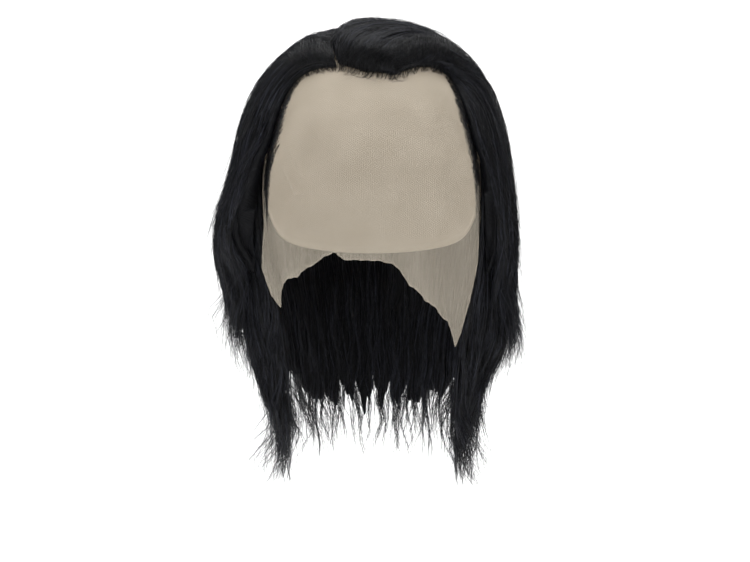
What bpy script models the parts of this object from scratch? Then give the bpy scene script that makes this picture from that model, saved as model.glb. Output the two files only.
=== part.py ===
"""Lace front wig, worn form: a net cap, a sheer front lace and black hair in layered locks.

Metres, +Z up, face towards -Y. The origin is the inner top of the cap, at the crown.
Every piece lies on one head form. A place on it is an azimuth (degrees, 0 = +X, 90 = back,
180 or -180 = left, -90 = front) and a reach, the way down from the crown along the form.
"""

import bmesh
import bpy
import numpy as np

MM = 0.001

# Head form that the cap is cut for, millimetres
HALF_WIDTH = 78.0
HALF_FRONT = 92.0
HALF_BACK = 100.0
DOME = 105.0
PLAN_POWER = 2.35
DOME_POWER = 2.2
# The drape narrows below the widest level: drop below the crown, share of the plan kept
DRAPE = ((105, 1.0), (150, 0.965), (190, 0.86), (230, 0.79), (400, 0.75))

# Walls and clearances, millimetres
CLOTH = 1.0
HAIR_LIFT = 1.75
SEAM_GAP = 0.3
TIER_GAP = 1.8
TIER_RISE = 7.0
THINNEST = 1.2

# Hair thickness over the head form, millimetres, by drop below the crown
THICKNESS = (
    # drop, left, right, back, front
    (0, 14, 14, 14, 14),
    (6, 13.5, 15.5, 16.5, 14.5),
    (20, 15, 18, 19, 13.5),
    (40, 18, 19, 20, 12.5),
    (64, 18.5, 18.5, 21, 12.5),
    (93, 21.5, 19, 23, 15),
    (125, 31.5, 22.5, 26, 17),
    (140, 34, 24.5, 28, 18),
    (165, 33, 27, 30, 19),
    (187, 32.5, 32.5, 31, 20),
    (205, 28.5, 33, 31, 20),
    (220, 25, 30, 29, 19),
    (240, 20, 21.5, 26, 16),
    (256, 18, 16, 22.5, 13.5),
    (280, 14, 20, 18, 11),
    (300, 12, 26, 13.5, 10),
    (320, 9, 21, 9, 8),
    (345, 6, 8, 6, 6),
)
# Share of that thickness under the upper layer of hair, by drop below the crown
UNDER_SHARE = ((76, 0.0), (90, 0.2), (120, 0.4), (150, 0.55), (175, 0.7), (197, 0.84), (215, 0.94), (235, 1.0))

# Flow of the hair: a row is one line that it follows, from its root to its tip.
# root, side and tip are azimuths, root_reach and tip_reach are reaches, and lift is the
# way that it leaves the root, in the flattened form (x to the right, y to the back).
SIDE_REACH = 120.0
SIDE_PULL = 45.0
TOP_LEFT = (
    # root, root_reach, lift_x, lift_y, side, tip, tip_reach
    (-112, 65.5, -40, 22, -146, -168, 246),
    (-127, 45, -28, 12, -164, -174, 256),
    (-148, 32, -28, 8, -178, -183, 262),
    (-180, 27, -28, 8, -195, -197, 260),
    (-207, 27, -18, 10, -209, -209, 256),
    (-225, 27, -14, 14, -222, -222, 252),
)
TOP_RIGHT = (
    # root, root_reach, lift_x, lift_y, side, tip, tip_reach
    (120, 22, 12, 10, 42, 42, 252),
    (153, 27, 30, 12, 30, 29, 258),
    (180, 27, 34, 12, 19, 17, 264),
    (212, 32, 32, 14, 10, 8, 268),
    (233, 45, 20, 24, 6, 4, 268),
    (248, 63, 8, 34, 2, 0, 268),
    (265, 70.5, 8, 40, -6, -6, 262),
    (282, 73.5, 12, 36, -13, -11, 256),
    (302, 64.5, 18, 24, -23, -15, 250),
    (326, 66.5, 12, 2, -34, -18, 242),
)
TOP_BACK = (
    # root, root_reach, lift_x, lift_y, side, tip, tip_reach
    (120, 22, 12, 10, 42, 42, 252),
    (122, 23.5, 6, 14, 60, 60, 262),
    (125, 25, 0, 16, 80, 80, 268),
    (128, 26, -4, 16, 100, 100, 268),
    (131, 26.5, -8, 15, 120, 120, 262),
    (135, 27, -14, 14, 138, 138, 252),
)
# The lower layer hangs straight, so a row is a start and a tip
LOWER_LEFT = (
    # start, start_reach, tip, tip_reach
    (-160, 136, -164, 342),
    (-172, 136, -174, 356),
    (-186, 136, -187, 348),
    (-204, 136, -204, 342),
    (-222, 136, -222, 350),
)
LOWER_RIGHT = (
    # start, start_reach, tip, tip_reach
    (42, 136, 42, 350),
    (26, 136, 25, 346),
    (8, 136, 7, 354),
    (-12, 136, -10, 362),
    (-27, 136, -19, 346),
)
LOWER_BACK = (
    # start, start_reach, tip, tip_reach
    (138, 136, 138, 350),
    (114, 136, 114, 358),
    (90, 136, 90, 362),
    (66, 136, 66, 358),
    (42, 136, 42, 350),
)

# Relief: locks, parting and the thin front edges, millimetres
LOCK_DEPTH = 3.4
LOCK_NOTCH = 26.0
LOCK_RAGGED = 18.0
PARTING_WIDTH = 6.5
PARTING_SHARE = 0.42
EDGE_RISE = 19.0
UNDER_RISE = 14.0
# Reaches below which the lower layer, not the upper one, is the hair's front border
BORDER_LEFT = 200.0
BORDER_RIGHT = 190.0
TIP_FADE = 0.22

# Front lace
LACE_INSET = 9.0
SEAM_COLUMNS = 36
LACE_EDGE = (
    # azimuth, drop of the cut edge, lift of that edge off the form
    (-157.5, 138, 1.5),
    (-156, 158, 6.0),
    (-154, 178, 4.0),
    (-150, 187, 0.5),
    (-143, 173, 0),
    (-126, 163, 0),
    (-115, 153, 0),
    (-106, 145, 0),
    (-102, 151, 0),
    (-91, 151, 0),
    (-81, 153, 0),
    (-73, 168, 0),
    (-64, 179, 0.5),
    (-54, 190, 1.0),
    (-47, 197, 1.0),
    (-38, 214, 1.5),
    (-34.5, 203, 3.0),
    (-31, 181, 4.0),
    (-29, 154, 3.0),
    (-28, 139, 1.0),
)
LACE_CREASES = (
    # azimuth and drop at one end, then at the other, height, width
    (-129, 75, -117.5, 103, 1.0, 2.5),
    (-133, 87, -121, 113, 0.6, 2.5),
    (-58, 172, -49, 192, 0.8, 2.5),
    (-142, 168, -108, 147, 1.2, 2.0),
)
# The cap's net is laid out from a place this far behind the crown
CAP_CENTRE = 35.0
CAP_EDGE = (
    # azimuth, drop of the cap's edge round the ears and the nape
    (-12, 119),
    (2, 112),
    (20, 122),
    (40, 142),
    (65, 152),
    (90, 155),
    (115, 152),
    (140, 142),
    (160, 122),
    (174, 111),
    (186, 119),
)

# Looks: red, green and blue (linear), roughness
BLACK_HAIR = (0.006, 0.006, 0.008, 0.42)
BEIGE_LACE = (0.60, 0.52, 0.42, 0.75)
CAP_NET = (0.50, 0.42, 0.33, 0.85)


def smooth(keys, values, at):
    """Cubic curve through the values at the keys (values may be vectors)."""
    keys = np.asarray(keys, float)
    values = np.asarray(values, float).reshape(len(keys), -1)
    slopes = np.gradient(values, keys, axis=0)
    at = np.asarray(at, float)
    low = np.clip(np.searchsorted(keys, at, "right") - 1, 0, len(keys) - 2)
    span = (keys[low + 1] - keys[low])[:, None]
    t = (np.clip(at, keys[0], keys[-1]) - keys[low])[:, None] / span
    start = values[low] * (1 + 2 * t) * (1 - t) ** 2 + slopes[low] * span * t * (1 - t) ** 2
    end = values[low + 1] * t**2 * (3 - 2 * t) + slopes[low + 1] * span * t**2 * (t - 1)
    return start + end


def linear(keys, values, at):
    """Straight runs through the values at the keys (values may be vectors)."""
    values = np.asarray(values, float).reshape(len(keys), -1)
    return np.column_stack([np.interp(at, keys, column) for column in values.T])


def meridian():
    """Reach, half-width share and drop along one line from the crown to the widest level."""
    phi = np.linspace(0, np.pi / 2, 400)
    share = np.sin(phi) ** (2 / DOME_POWER)
    drop = DOME * (1 - np.cos(phi) ** (2 / DOME_POWER))
    radius = share * (HALF_WIDTH + HALF_FRONT + HALF_BACK) / 3
    reach = np.concatenate([[0], np.cumsum(np.hypot(np.diff(radius), np.diff(drop)))])
    return reach, share, drop


REACH, SHARE, DROP = meridian()


def reach_of(drop):
    """Reach of a place that lies this far below the crown."""
    return np.where(drop < DOME, np.interp(drop, DROP, REACH), REACH[-1] + drop - DOME)


def drop_of(reach):
    return np.where(reach < REACH[-1], np.interp(reach, REACH, DROP), DOME + reach - REACH[-1])


def flat(azimuth, reach):
    """Place in the flattened form: the crown at the centre, the reach as the radius."""
    turn = np.radians(azimuth)
    return np.stack([reach * np.cos(turn), reach * np.sin(turn)], axis=-1)


def on_form(q):
    """Point of the head form, millimetres, for a place in the flattened form."""
    reach = np.hypot(q[..., 0], q[..., 1])
    turn = np.arctan2(q[..., 1], q[..., 0])
    cos, sin = np.cos(turn), np.sin(turn)
    depth = np.where(sin < 0, HALF_FRONT, HALF_BACK)
    plan = (np.abs(cos / HALF_WIDTH) ** PLAN_POWER + np.abs(sin / depth) ** PLAN_POWER) ** (-1 / PLAN_POWER)
    drop = drop_of(reach)
    keys, kept = np.transpose(DRAPE)
    drape = smooth(keys, kept, np.maximum(drop, DOME).ravel()).reshape(drop.shape)
    radius = plan * np.interp(reach, REACH, SHARE) * drape
    return np.stack([radius * cos, radius * sin, -drop], axis=-1)


def outward(q, step=0.5):
    """Unit normal of the head form."""
    along_x = on_form(q + (step, 0)) - on_form(q - (step, 0))
    along_y = on_form(q + (0, step)) - on_form(q - (0, step))
    normal = np.cross(along_x, along_y)
    return normal / np.linalg.norm(normal, axis=-1, keepdims=True)


def distance(points, line):
    """Shortest way from each point to a line of straight runs."""
    best = np.full(points.shape[:-1], np.inf)
    for start, end in zip(line[:-1], line[1:]):
        run = end - start
        t = np.clip(((points - start) @ run) / max(run @ run, 1e-9), 0, 1)
        best = np.minimum(best, np.linalg.norm(points - start - t[..., None] * run, axis=-1))
    return best


def hair_line(row, v):
    """Flattened places along one row of TOP_LEFT, TOP_RIGHT or TOP_BACK."""
    root_azimuth, root_reach, lift_x, lift_y, side, tip, tip_reach = row
    root = flat(root_azimuth, root_reach)
    turn = 360 * round((root_azimuth - side) / 360) if abs(root_azimuth - side) > 200 else 0
    side, tip = side + turn, tip + turn
    entry = flat(side, SIDE_REACH)
    bend = flat(side, SIDE_REACH - SIDE_PULL)
    split = (SIDE_REACH - 20) / (tip_reach - 20)
    t = np.clip(v / split, 0, 1)[:, None]
    curve = (1 - t) ** 3 * root + 3 * t * (1 - t) ** 2 * (root + (lift_x, lift_y))
    curve += 3 * t**2 * (1 - t) * bend + t**3 * entry
    down = np.clip((v - split) / (1 - split), 0, 1)
    below = flat(side + (tip - side) * down, SIDE_REACH + (tip_reach - SIDE_REACH) * down)
    return np.where((v < split)[:, None], curve, below)


def border(upper, lower, reach):
    """Flattened places down one side: an upper row, and below the reach a lower row."""
    v = np.linspace(0, 1, 40)
    above = hair_line(upper, v)
    start, start_reach, tip, tip_reach = lower
    below = flat(start + (tip - start) * v, start_reach + (tip_reach - start_reach) * v)
    above = above[np.hypot(above[:, 0], above[:, 1]) < reach]
    return np.vstack([above, below[np.hypot(below[:, 0], below[:, 1]) >= reach]])


def front_edge():
    """The free front border of the hair on the form, from left tip to right tip."""
    left = border(TOP_LEFT[0], LOWER_LEFT[0], BORDER_LEFT)
    right = border(TOP_RIGHT[-1], LOWER_RIGHT[-1], BORDER_RIGHT)
    roots = [flat(row[0], row[1]) for row in TOP_RIGHT[5:]]
    return np.vstack([left[::-1], roots, right])


def parting():
    """The parting on the form, from the hairline to the crown."""
    return np.array([flat(row[0], row[1]) for row in TOP_LEFT[:4]])


def body_of_hair(q):
    """Full thickness of the hair over a flattened place, with its edges and parting."""
    reach = np.hypot(q[..., 0], q[..., 1])
    turn = np.arctan2(q[..., 1], q[..., 0])
    drop = drop_of(reach)
    table = np.asarray(THICKNESS, float)
    left, right, back, front = smooth(table[:, 0], table[:, 1:], drop.ravel()).T
    left, right, back, front = (side.reshape(drop.shape) for side in (left, right, back, front))
    across = np.where(np.cos(turn) < 0, left, right) * np.cos(turn) ** 2
    full = across + np.where(np.sin(turn) < 0, front, back) * np.sin(turn) ** 2
    points = on_form(q)
    inward = np.clip(distance(points, on_form(front_edge())) / EDGE_RISE, 0, 1)
    full = full * np.sqrt(1 - (1 - inward) ** 2)
    dip = np.exp(-((distance(points, on_form(parting())) / PARTING_WIDTH) ** 2))
    return full * (1 - PARTING_SHARE * dip)


def under_share(q):
    """Share of the thickness under the upper layer, which closes down at the front border."""
    drop = drop_of(np.hypot(q[..., 0], q[..., 1]))
    keys, shares = np.transpose(UNDER_SHARE)
    inward = np.clip(distance(on_form(q), on_form(front_edge())) / UNDER_RISE, 0, 1)
    return np.interp(drop, keys, shares) * inward


def ragged(lock):
    """A steady value from -1 to 1 for each lock, so that no two neighbours match."""
    return np.sin(lock * 2.4 + 0.7 * np.sin(lock * 5.1))


def lock_profile(u, locks):
    """0 in the valleys between the locks, 1 on their backs, for u from 0 to 1."""
    place = u * locks
    lock = np.minimum(np.floor(place), locks - 1)
    within = np.clip(place - lock, 0, 1)
    return np.sin(np.pi * within**1.25), lock


def lock_columns(locks):
    """Three columns a lock: valley, rising side and back."""
    within = np.array([0, 0.36, 0.7])
    return np.append((np.arange(locks)[:, None] + within).ravel(), locks) / locks


def shell(name, outer, inner, look):
    """Closed body between two grids of points, millimetres, loft of unlike sections."""
    rows, columns = outer.shape[:2]
    index = np.arange(rows * columns).reshape(rows, columns)
    a, b, c, d = index[:-1, :-1], index[:-1, 1:], index[1:, 1:], index[1:, :-1]
    top = np.stack([a, d, c, b], axis=-1).reshape(-1, 4)
    under = top[:, ::-1] + rows * columns
    rim = np.concatenate([index[0], index[1:, -1], index[-1, -2::-1], index[-2:0:-1, 0]])
    after = np.roll(rim, -1)
    side = np.stack([rim, after, after + rows * columns, rim + rows * columns], axis=-1)
    points = np.concatenate([outer.reshape(-1, 3), inner.reshape(-1, 3)]) * MM
    mesh = bpy.data.meshes.new(name)
    mesh.from_pydata(points.tolist(), [], np.concatenate([top, under, side]).tolist())
    tidy = bmesh.new()
    tidy.from_mesh(mesh)
    bmesh.ops.recalc_face_normals(tidy, faces=tidy.faces)
    tidy.to_mesh(mesh)
    tidy.free()
    return place(name, mesh, look)


def place(name, mesh, look):
    """Named object in the wig's collection, with its own material."""
    red, green, blue, roughness = look
    material = bpy.data.materials.new(name)
    material.use_nodes = True
    shader = material.node_tree.nodes["Principled BSDF"]
    shader.inputs["Base Color"].default_value = (red, green, blue, 1)
    shader.inputs["Roughness"].default_value = roughness
    shader.inputs["Metallic"].default_value = 0
    mesh.materials.append(material)
    mesh.shade_smooth()
    piece = bpy.data.objects.new(name, mesh)
    bpy.data.collections["lace_front_wig"].objects.link(piece)
    return piece


def sheet(name, points, look):
    """Thin cloth: an open grid of points, millimetres, thickened outwards with Solidify."""
    rows, columns = points.shape[:2]
    grid = bmesh.new()
    bmesh.ops.create_grid(grid, x_segments=columns - 1, y_segments=rows - 1, size=0.5)
    for vertex in grid.verts:
        column = round((vertex.co.x + 0.5) * (columns - 1))
        row = round((vertex.co.y + 0.5) * (rows - 1))
        vertex.co = points[row, column] * MM
    bmesh.ops.remove_doubles(grid, verts=grid.verts, dist=1e-5)
    mesh = bpy.data.meshes.new(name)
    grid.to_mesh(mesh)
    grid.free()
    piece = place(name, mesh, look)
    wall = piece.modifiers.new("wall", "SOLIDIFY")
    wall.thickness = CLOTH * MM
    wall.offset = 1
    wall.use_even_offset = False
    return piece


def relief(q, u, locks, tops, floor):
    """Outer height of the locks: the tops less the valleys, never under the floor."""
    profile, lock = lock_profile(u, locks)
    depth = LOCK_DEPTH * (1 - profile) + 0.9 * (1 + ragged(lock)) * profile
    room = np.clip((tops - floor) / 12, 0, 1)
    return np.maximum(tops - depth * room, floor)


def hair_mass(name, places, u, locks, low, high, v):
    """One layer of hair between two heights over the form, its tips drawn out thin."""
    fade = np.clip((1 - v) / TIP_FADE, 0, 1)[:, None]
    body = low + THINNEST + np.maximum(high - low - THINNEST, 0) * (1 - (1 - fade) ** 2)
    tops = relief(places, np.broadcast_to(u, high.shape), locks, body, low + THINNEST)
    points, normal = on_form(places), outward(places)
    return shell(
        name,
        points + normal * tops[..., None],
        points + normal * low[..., None],
        BLACK_HAIR,
    )


def tip_lengths(u, locks):
    """How much shorter each column ends than its row says, millimetres."""
    profile, lock = lock_profile(u, locks)
    return LOCK_NOTCH * (1 - profile) + LOCK_RAGGED * (1 + ragged(lock + 3)) / 2


def inset(u, places):
    """Columns drawn in at both ends, so that the next piece stays a seam's gap away."""
    width = np.linalg.norm(np.diff(on_form(places[len(places) // 2]), axis=0), axis=-1).sum()
    edge = SEAM_GAP / width
    return edge + u * (1 - 2 * edge)


def flowed(rows, u, v, locks):
    """Grid of flattened places between the rows' lines, u across them and v along."""
    keys = np.linspace(0, 1, len(rows))
    table = np.asarray(rows, float)
    roots = linear(keys, flat(table[:, 0], table[:, 1]), u)
    lines = np.stack([hair_line(row, v) - flat(row[0], row[1]) for row in rows])
    spread = smooth(keys, lines.reshape(len(rows), -1), u).reshape(len(u), len(v), 2)
    places = roots[:, None] + spread
    reach = np.hypot(places[..., 0], places[..., 1])
    tip = reach[:, -1:]
    below = np.clip((reach - SIDE_REACH) / (tip - SIDE_REACH), 0, 1)
    shorter = 1 - tip_lengths(u, locks)[:, None] * below / np.maximum(reach, 1)
    return (places * shorter[..., None]).transpose(1, 0, 2)


def top_layer(name, rows, locks, steps):
    """Upper layer of hair: from the parting or the hairline over the crown and down."""
    u = lock_columns(locks)
    v = np.linspace(0.004, 1, steps)
    u = inset(u, flowed(rows, u, v, locks))
    places = flowed(rows, u, v, locks)
    full = np.maximum(body_of_hair(places), THINNEST)
    drop = drop_of(np.hypot(places[..., 0], places[..., 1]))
    tier = np.clip((drop - UNDER_SHARE[0][0]) / TIER_RISE, 0, 1)
    low = HAIR_LIFT + TIER_GAP * tier + under_share(places) * full
    return hair_mass(name, places, u, locks, low, HAIR_LIFT + TIER_GAP + full, v)


def hanging(rows, u, v, locks):
    """Grid of flattened places of the lower layer."""
    keys = np.linspace(0, 1, len(rows))
    start, start_reach, tip, tip_reach = smooth(keys, rows, u).T
    length = tip_reach - tip_lengths(u, locks) - start_reach
    azimuth = start + (tip - start) * v[:, None]
    return flat(azimuth, start_reach + length * v[:, None])


def lower_layer(name, rows, locks, steps):
    """Lower layer of hair: from under the upper one at the ears down to the tips."""
    u = lock_columns(locks)
    v = np.linspace(0, 1, steps)
    u = inset(u, hanging(rows, u, v, locks))
    places = hanging(rows, u, v, locks)
    full = np.maximum(body_of_hair(places), THINNEST)
    low = np.full(full.shape, HAIR_LIFT)
    high = np.maximum(HAIR_LIFT + under_share(places) * full, low + THINNEST)
    return hair_mass(name, places, u, locks, low, high, v)


def hairline():
    """Flattened places along the hairline, from the left ear over the brow to the right."""
    v = np.linspace(0, 1, 60)
    left = hair_line(TOP_LEFT[0], v)
    right = hair_line(TOP_RIGHT[-1], v)
    ear = reach_of(129)
    left = left[np.hypot(left[:, 0], left[:, 1]) < ear]
    right = right[np.hypot(right[:, 0], right[:, 1]) < ear]
    roots = [flat(row[0], row[1]) for row in TOP_RIGHT[6:-1]]
    return np.vstack([left[::-1], roots, right])


def along(line, count):
    """The line again with points evenly spaced on the form."""
    points = on_form(line)
    way = np.concatenate([[0], np.cumsum(np.linalg.norm(np.diff(points, axis=0), axis=-1))])
    return linear(way, line, np.linspace(0, way[-1], count))


def lace_seam(count, inset_by):
    """The eased hairline moved towards the cap by inset_by millimetres."""
    line = along(hairline(), 90)
    for _ in range(6):
        line[1:-1] = (line[:-2] + 2 * line[1:-1] + line[2:]) / 4
    line = along(line, count)
    points = on_form(line)
    run = np.gradient(points, axis=0)
    side = np.cross(outward(line), run)
    side /= np.linalg.norm(side, axis=-1, keepdims=True)
    step = 0.5
    along_x = (on_form(line + (step, 0)) - points) / step
    along_y = (on_form(line + (0, step)) - points) / step
    basis = np.stack([along_x, along_y], axis=-1)
    moves = np.stack([np.linalg.lstsq(b, s, rcond=None)[0] for b, s in zip(basis, side)])
    return line + inset_by * moves


def crease_height(points):
    """Outward lift of the soft creases in the lace, millimetres."""
    height = np.zeros(points.shape[:-1])
    for from_azimuth, from_drop, to_azimuth, to_drop, rise, width in LACE_CREASES:
        ends = np.array([flat(from_azimuth, reach_of(from_drop)), flat(to_azimuth, reach_of(to_drop))])
        line = on_form(linear([0, 1], ends, np.linspace(0, 1, 9)))
        height += rise * np.exp(-((distance(points, line) / width) ** 2))
    return height


def front_lace(columns, rows):
    """Sheer lace from under the hairline over the brow to its uneven cut edge."""
    table = np.asarray(LACE_EDGE, float)
    cut = flat(table[:, 0], reach_of(table[:, 1]))
    points = on_form(cut)
    way = np.concatenate([[0], np.cumsum(np.linalg.norm(np.diff(points, axis=0), axis=-1))])
    at = np.linspace(0, way[-1], columns)
    edge = linear(way, cut, at)
    lift = np.interp(at, way, table[:, 2])
    seam = lace_seam(columns, LACE_INSET)
    v = np.linspace(0, 1, rows)[:, None, None]
    places = seam * (1 - v) + edge * v
    points = on_form(places)
    rise = crease_height(points) + lift * v[..., 0] ** 2
    return sheet("front_lace", points + outward(places) * rise[..., None], BEIGE_LACE)


def cap(seam_columns, edge_columns, rows):
    """Net cap: the form from the front seam over the crown, round the ears to the nape."""
    seam = lace_seam(seam_columns, LACE_INSET + SEAM_GAP)
    table = np.asarray(CAP_EDGE, float)
    keys = np.linspace(0, 1, len(table))
    azimuth, drop = smooth(keys, table, np.linspace(0, 1, edge_columns)).T
    border = np.vstack([seam, flat(azimuth, reach_of(drop))])
    border = np.vstack([border, border[:1]])
    v = np.linspace(0, 1, rows)[:, None, None]
    centre = np.array([0, CAP_CENTRE])
    return sheet("cap", on_form(centre + (border - centre) * v), CAP_NET)


def main():
    for old in list(bpy.data.objects):
        bpy.data.objects.remove(old)
    collection = bpy.data.collections.new("lace_front_wig")
    bpy.context.scene.collection.children.link(collection)
    cap(seam_columns=SEAM_COLUMNS, edge_columns=18, rows=7)
    front_lace(columns=SEAM_COLUMNS, rows=9)
    top_layer("hair_top_left", TOP_LEFT, locks=8, steps=17)
    top_layer("hair_top_right", TOP_RIGHT, locks=10, steps=17)
    top_layer("hair_back", TOP_BACK, locks=9, steps=17)
    lower_layer("hair_side_left", LOWER_LEFT, locks=8, steps=11)
    lower_layer("hair_side_right", LOWER_RIGHT, locks=8, steps=11)
    lower_layer("hair_nape", LOWER_BACK, locks=10, steps=11)


main()
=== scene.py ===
"""Looks of the lace front wig: black hair in layered locks, a sheer front lace and a net cap.

Lengths inside the shape code are millimetres, and meshes are written in metres. Every piece
lies on one head form. A place on it is an azimuth (degrees, 0 = +X, 90 = back, 180 = left,
-90 = front) and a reach, the way down from the crown along the form. The flattened form lays
these out as an angle and a radius, and the shapes below are worked out there as whole arrays.
"""

import logging
import math
from dataclasses import dataclass, field
from enum import Enum

import bmesh
import bpy
import numpy as np
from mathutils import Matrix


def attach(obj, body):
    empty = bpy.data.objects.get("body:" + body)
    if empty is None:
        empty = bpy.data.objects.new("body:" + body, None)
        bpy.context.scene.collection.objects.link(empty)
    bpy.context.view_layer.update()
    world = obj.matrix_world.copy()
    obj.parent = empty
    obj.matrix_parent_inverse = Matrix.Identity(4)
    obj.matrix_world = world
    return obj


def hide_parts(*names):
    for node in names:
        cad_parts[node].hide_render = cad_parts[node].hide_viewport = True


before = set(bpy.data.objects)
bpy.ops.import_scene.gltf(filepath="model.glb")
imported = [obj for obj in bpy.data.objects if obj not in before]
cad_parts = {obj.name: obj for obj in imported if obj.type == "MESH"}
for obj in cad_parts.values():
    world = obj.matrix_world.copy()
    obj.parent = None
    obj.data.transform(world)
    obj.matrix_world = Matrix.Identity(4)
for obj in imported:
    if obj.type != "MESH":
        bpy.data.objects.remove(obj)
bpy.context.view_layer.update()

log = logging.getLogger("lace_front_wig")

MM = 0.001
BODY = "root"

# Where sRGB turns from a straight line to a power, and what most of a noise lies between
SRGB_STEP = 0.04045
NOISE_SPAN = (0.3, 0.7)

Array = np.ndarray
Tree = bpy.types.NodeTree
Socket = bpy.types.NodeSocket
Node = bpy.types.Node
Material = bpy.types.Material
Mesh = bpy.types.Mesh
Piece = bpy.types.Object


def srgb(code: str) -> tuple[float, float, float, float]:
    """Linear colour of an sRGB hex code.

    Args:
        code: six hex digits.

    Returns:
        Red, green and blue, linear, and a full alpha.
    """
    parts = [int(code[i : i + 2], 16) / 255 for i in (0, 2, 4)]
    red, green, blue = (p / 12.92 if p <= SRGB_STEP else ((p + 0.055) / 1.055) ** 2.4 for p in parts)
    return (red, green, blue, 1.0)


def smooth(keys: Array, values: Array, at: Array) -> Array:
    """Cubic curve through values at keys, with slopes by finite differences.

    Args:
        keys: rising numbers.
        values: one number or vector for each key.
        at: where to read the curve.

    Returns:
        One row for each entry of at.
    """
    keys = np.asarray(keys, float)
    values = np.asarray(values, float).reshape(len(keys), -1)
    slopes = np.gradient(values, keys, axis=0)
    at = np.asarray(at, float)
    low = np.clip(np.searchsorted(keys, at, "right") - 1, 0, len(keys) - 2)
    span = (keys[low + 1] - keys[low])[:, None]
    t = (np.clip(at, keys[0], keys[-1]) - keys[low])[:, None] / span
    start = values[low] * (1 + 2 * t) * (1 - t) ** 2 + slopes[low] * span * t * (1 - t) ** 2
    end = values[low + 1] * t**2 * (3 - 2 * t) + slopes[low + 1] * span * t**2 * (t - 1)
    return start + end


def linear(keys: Array, values: Array, at: Array) -> Array:
    """Straight runs through the values at the keys, one column for each coordinate."""
    values = np.asarray(values, float).reshape(len(keys), -1)
    return np.column_stack([np.interp(at, keys, column) for column in values.T])


def flat(azimuth: Array, reach: Array) -> Array:
    """Place in the flattened form: the reach as radius, the azimuth in degrees as angle."""
    turn = np.radians(azimuth)
    return np.stack([reach * np.cos(turn), reach * np.sin(turn)], axis=-1)


def reach_at(places: Array) -> Array:
    """Reach of flattened places."""
    return np.hypot(places[..., 0], places[..., 1])


def turn_at(places: Array) -> Array:
    """Azimuth of flattened places, in radians."""
    return np.arctan2(places[..., 1], places[..., 0])


def unit(vectors: Array) -> Array:
    """The same directions at length 1."""
    return vectors / np.maximum(np.linalg.norm(vectors, axis=-1, keepdims=True), 1e-9)


def way_along(points: Array) -> Array:
    """Length of a line of points up to each of them."""
    return np.concatenate([[0], np.cumsum(np.linalg.norm(np.diff(points, axis=0), axis=-1))])


def bell(away: Array, width: float) -> Array:
    """Bell curve: 1 at no distance and 1 / e at the width."""
    return np.exp(-((away / width) ** 2))


def distance(points: Array, line: Array) -> Array:
    """Shortest way from each point to a line of straight runs.

    Args:
        points: any grid of points.
        line: the corners of the line.

    Returns:
        One distance for each point.
    """
    best = np.full(points.shape[:-1], np.inf)
    for start, end in zip(line[:-1], line[1:]):
        run = end - start
        t = np.clip(((points - start) @ run) / max(run @ run, 1e-9), 0, 1)
        best = np.minimum(best, np.linalg.norm(points - start - t[..., None] * run, axis=-1))
    return best


def ragged(index: Array) -> Array:
    """A steady value from -1 to 1 for each index, so that no two neighbours match."""
    return np.sin(index * 2.4 + 0.7 * np.sin(index * 5.1))


@dataclass(frozen=True)
class HeadForm:
    """Head form that the cap is cut for: a dome over a superellipse plan, then a drape."""

    half_width: float = 78.0
    half_front: float = 92.0
    half_back: float = 100.0
    dome: float = 105.0
    plan_power: float = 2.35
    dome_power: float = 2.2
    drape: tuple = ((105, 1.0), (150, 0.965), (190, 0.86), (230, 0.79), (400, 0.75))

    def meridian(self) -> tuple[Array, Array, Array]:
        """Reach, share of the plan and drop along a line from the crown to the widest level.

        The share is sin(phi) and the fall is cos(phi), each to the power of 2 over dome_power.
        """
        phi = np.linspace(0, np.pi / 2, 400)
        share = np.sin(phi) ** (2 / self.dome_power)
        drop = self.dome * (1 - np.cos(phi) ** (2 / self.dome_power))
        radius = share * (self.half_width + self.half_front + self.half_back) / 3
        reach = np.concatenate([[0], np.cumsum(np.hypot(np.diff(radius), np.diff(drop)))])
        return reach, share, drop

    def reach_of(self, drop: Array) -> Array:
        """Reach of a place that lies this far below the crown."""
        reach, _, drops = self.meridian()
        return np.where(drop < self.dome, np.interp(drop, drops, reach), reach[-1] + drop - self.dome)

    def drop_of(self, at: Array) -> Array:
        """How far below the crown a reach ends."""
        reach, _, drops = self.meridian()
        return np.where(at < reach[-1], np.interp(at, reach, drops), self.dome + at - reach[-1])

    def point(self, q: Array) -> Array:
        """Point of the form for a flattened place.

        The plan's radius is (|cos/a|^n + |sin/b|^n)^(-1/n), times the meridian's share there,
        times the drape's share below the widest level.

        Args:
            q: flattened places.

        Returns:
            Points in millimetres.
        """
        at = reach_at(q)
        turn = turn_at(q)
        cos, sin = np.cos(turn), np.sin(turn)
        depth = np.where(sin < 0, self.half_front, self.half_back)
        power = self.plan_power
        plan = (np.abs(cos / self.half_width) ** power + np.abs(sin / depth) ** power) ** (-1 / power)
        drop = self.drop_of(at)
        keys, kept = np.transpose(self.drape)
        drape = smooth(keys, kept, np.maximum(drop, self.dome).ravel()).reshape(drop.shape)
        reach, share, _ = self.meridian()
        radius = plan * np.interp(at, reach, share) * drape
        return np.stack([radius * cos, radius * sin, -drop], axis=-1)

    def outward(self, q: Array, step: float = 0.5) -> Array:
        """Unit normal of the form, from the cross product of its two slopes."""
        along_x = self.point(q + (step, 0)) - self.point(q - (step, 0))
        along_y = self.point(q + (0, step)) - self.point(q - (0, step))
        return unit(np.cross(along_x, along_y))


FORM = HeadForm()
# Reach of the ring round the crown from which the upper hair's length is counted
CROWN_REACH = 20.0
# Reach of the level where the upper hair turns straight down
SIDE_REACH = 120.0


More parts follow.
